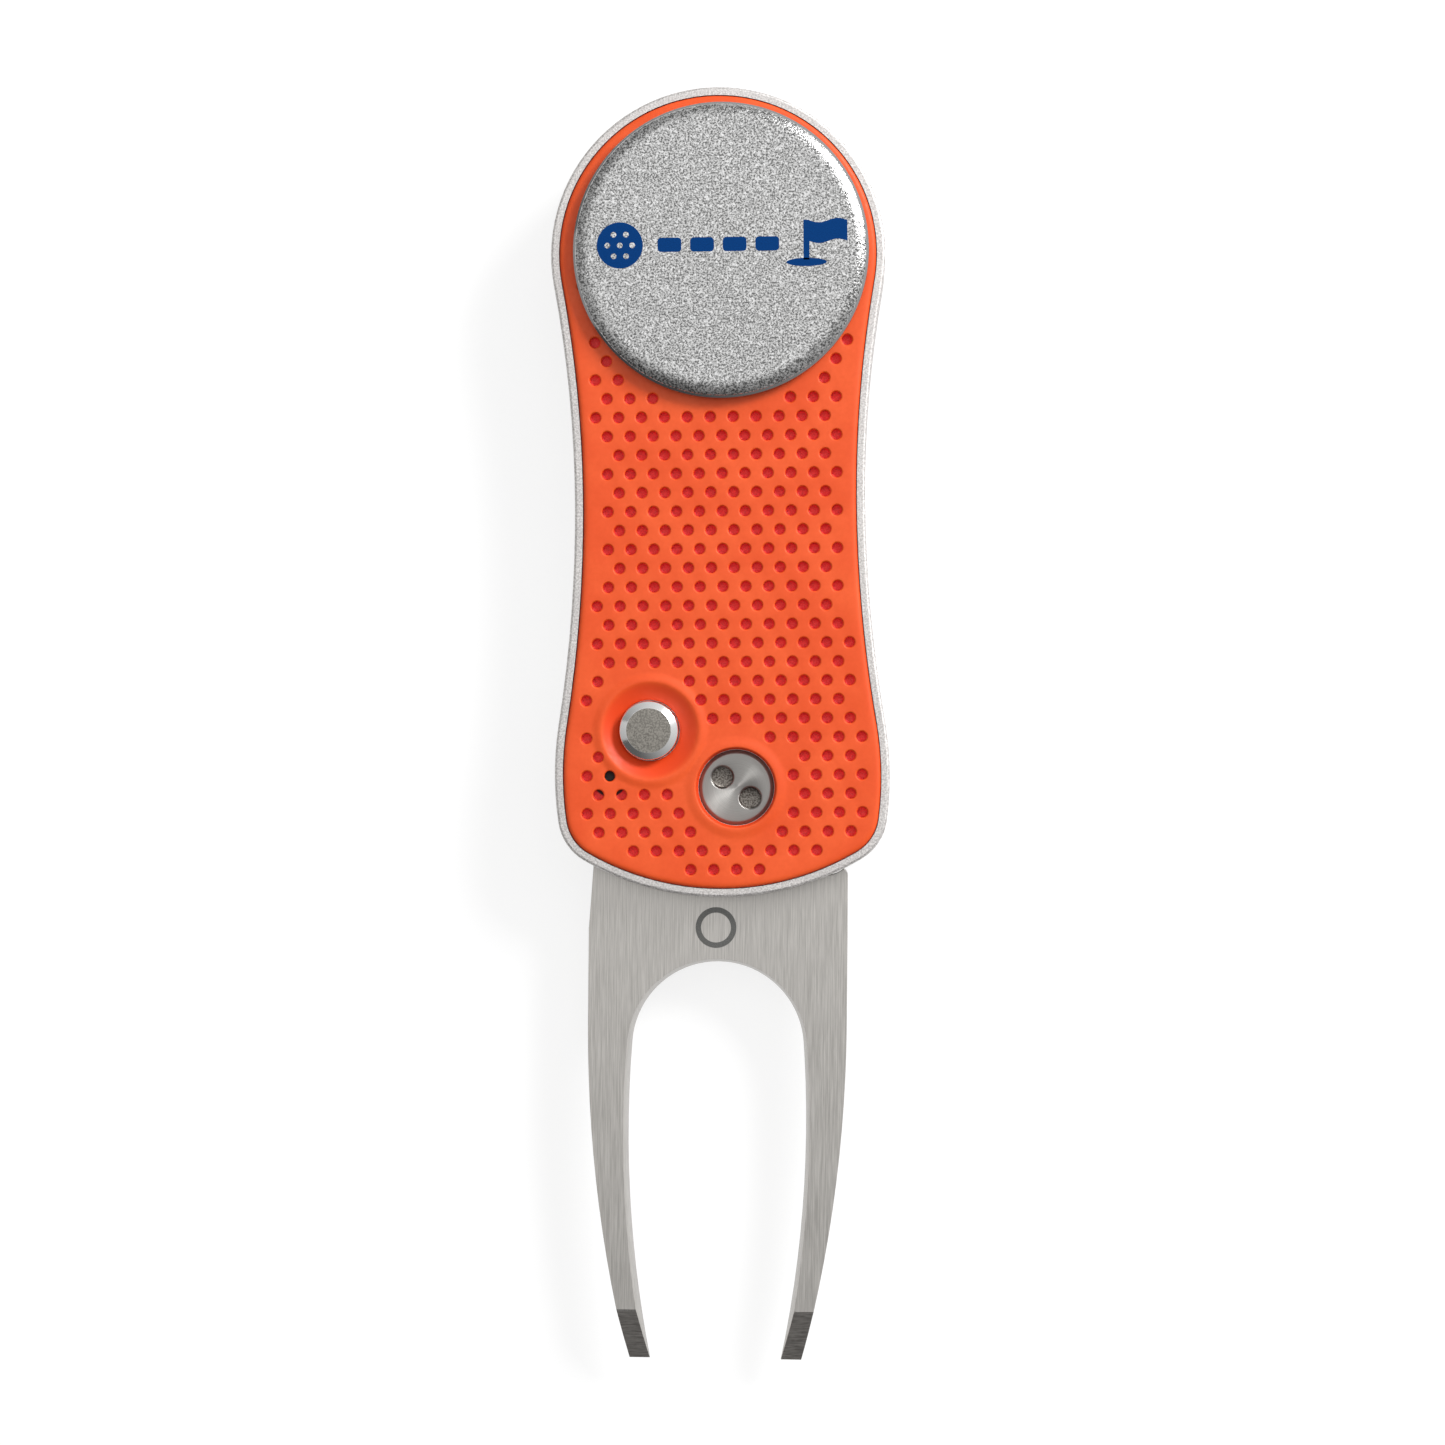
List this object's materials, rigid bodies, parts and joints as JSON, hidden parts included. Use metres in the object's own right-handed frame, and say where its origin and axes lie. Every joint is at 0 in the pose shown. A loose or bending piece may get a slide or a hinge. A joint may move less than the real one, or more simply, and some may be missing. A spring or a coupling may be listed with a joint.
{
  "type": "divot repair tool",
  "caption": "Folding golf divot repair tool: pronged steel fork pivots in a waisted alloy handle with perforated grips, a release button and a lift-off magnetic ball marker.",
  "frame": {"origin": "bottom centre of the whole tool's box, with the tool lying on its back and the fork open", "axes": "+Z out of the front face with the marker and button, +Y from the prongs to the rounded head, +X to the right seen from the front"},
  "size_m": [0.0284, 0.109, 0.0105],
  "materials": {
    "casing": "bead-blasted, clear anodised",
    "spacer": "bead-blasted",
    "grip": "matt soft-touch rubber",
    "fork_steel": "brushed lengthwise, bevels ground",
    "pivot_steel": "turned face",
    "hardware_steel": "plain machined",
    "spring_steel": "drawn spring wire and strip",
    "washer_bronze": "plain bronze",
    "button_steel": "polished bevel, fine matt top",
    "marker_nickel": "fine sand-cast face, polished edge",
    "magnet_nickel": "nickel plate"
  },
  "bodies": {
    "handle": {"front_casing": "casing", "rear_casing": "casing", "spine_spacer": "spacer", "front_grip": "grip", "rear_grip": "grip", "fork_spring": "spring_steel", "pivot_barrel": "pivot_steel", "pivot_screw": "hardware_steel", "front_thrust_washer": "washer_bronze", "rear_thrust_washer": "washer_bronze", "stop_pin": "hardware_steel", "button_spring": "spring_steel", "magnet_cup": "hardware_steel", "marker_magnet": "magnet_nickel", "casing_screws": "hardware_steel", "locating_dowels": "hardware_steel"},
    "fork_blade": {"fork": "fork_steel", "spring_post": "hardware_steel"},
    "button": {"release_button": "button_steel"},
    "marker": {"ball_marker": "marker_nickel"}
  },
  "joints": [
    {"name": "fork_pivot", "type": "hinge", "parent": "handle", "child": "fork_blade", "pos_m": [0.0012, -0.00498, 0.0045], "axis": [0, 0, 1], "range_deg": [0, 180], "stiffness_Nm_per_rad": 0.01, "springref_deg": -45.84, "deforming": ["fork_spring"]},
    {"name": "button_press", "type": "slide", "parent": "handle", "child": "button", "axis": [0, 0, -1], "range_m": [0, 0.0011], "stiffness_N_per_m": 800, "springref_m": -0.0006, "deforming": ["button_spring"]},
    {"name": "marker_lift", "type": "slide", "parent": "handle", "child": "marker", "axis": [0, 0, 1], "range_m": [0, 0.015]}
  ]
}
